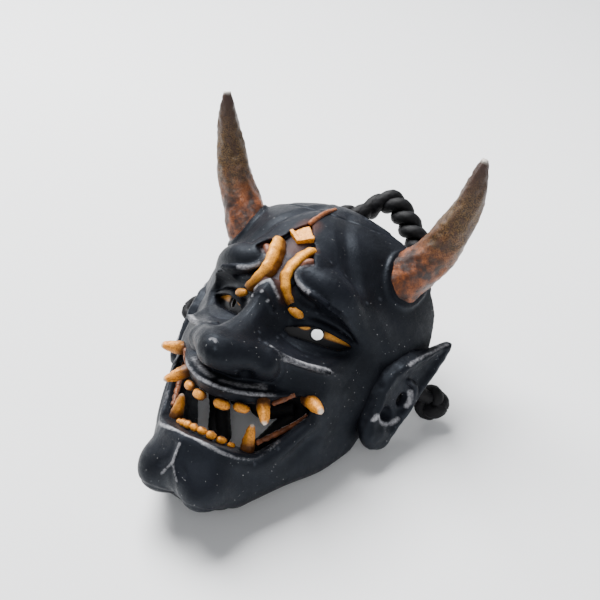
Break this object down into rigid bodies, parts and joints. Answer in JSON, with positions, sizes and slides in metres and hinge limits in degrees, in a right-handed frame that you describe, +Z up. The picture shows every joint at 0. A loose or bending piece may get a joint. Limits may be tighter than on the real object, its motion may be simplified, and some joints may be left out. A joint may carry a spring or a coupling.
{
  "type": "horned noh display mask",
  "caption": "Small horned demon noh mask: hollow face shell with glued horns, ears, eyes and teeth, gilt brow relief and a twisted cord hanger.",
  "frame": {"origin": "on the table, at the bottom centre of the whole object's box", "axes": "+X to the viewer's right when facing the mask, -Y the side the face looks to, +Z up; the mask leans back 43 degrees from upright"},
  "size_m": [0.0896, 0.1028, 0.0718],
  "materials": {
    "black_cast": "matt black paint over cast resin, edges dry-brushed grey",
    "bronze_horn": "bronze and burnt umber paint, pitted, satin",
    "gilt": "gold paint with dark wash in the hollows",
    "old_gold_tooth": "old gold paint, pale at the tips",
    "copper_wash": "thin copper-brown wash",
    "black_cord": "braided nylon cord"
  },
  "bodies": {
    "mask": {"mask_shell": "black_cast", "ear_left": "black_cast", "ear_right": "black_cast", "horn_left": "bronze_horn", "horn_right": "bronze_horn", "eye_left": "gilt", "eye_right": "gilt", "upper_fang_left": "old_gold_tooth", "upper_fang_right": "old_gold_tooth", "lower_fang_left": "old_gold_tooth", "lower_fang_right": "old_gold_tooth", "corner_tusk_left": "old_gold_tooth", "corner_tusk_right": "old_gold_tooth", "upper_side_teeth_left": "copper_wash", "upper_side_teeth_right": "copper_wash", "lower_side_teeth_left": "copper_wash", "lower_side_teeth_right": "copper_wash", "forehead_scroll_left": "gilt", "forehead_scroll_right": "gilt", "brow_curl_left": "copper_wash", "brow_curl_right": "copper_wash", "tear_bead_left": "copper_wash", "tear_bead_right": "copper_wash", "stopper_knot_left": "black_cord", "stopper_knot_right": "black_cord", "cord_lead_left": "black_cord", "cord_lead_right": "black_cord", "cord_tail_left": "black_cord", "cord_tail_right": "black_cord", "upper_incisors": "old_gold_tooth", "lower_incisors": "old_gold_tooth", "forehead_plate": "gilt", "crown_seam": "copper_wash"},
    "cord": {"cord_strand_front": "black_cord", "cord_strand_rear": "black_cord"}
  },
  "joints": [
    {"name": "cord_swing", "type": "hinge", "parent": "mask", "child": "cord", "pos_m": [0, 0.01866, 0.0252], "axis": [-1, 0, 0], "range_deg": [0, 120], "stiffness_Nm_per_rad": 0.01}
  ]
}
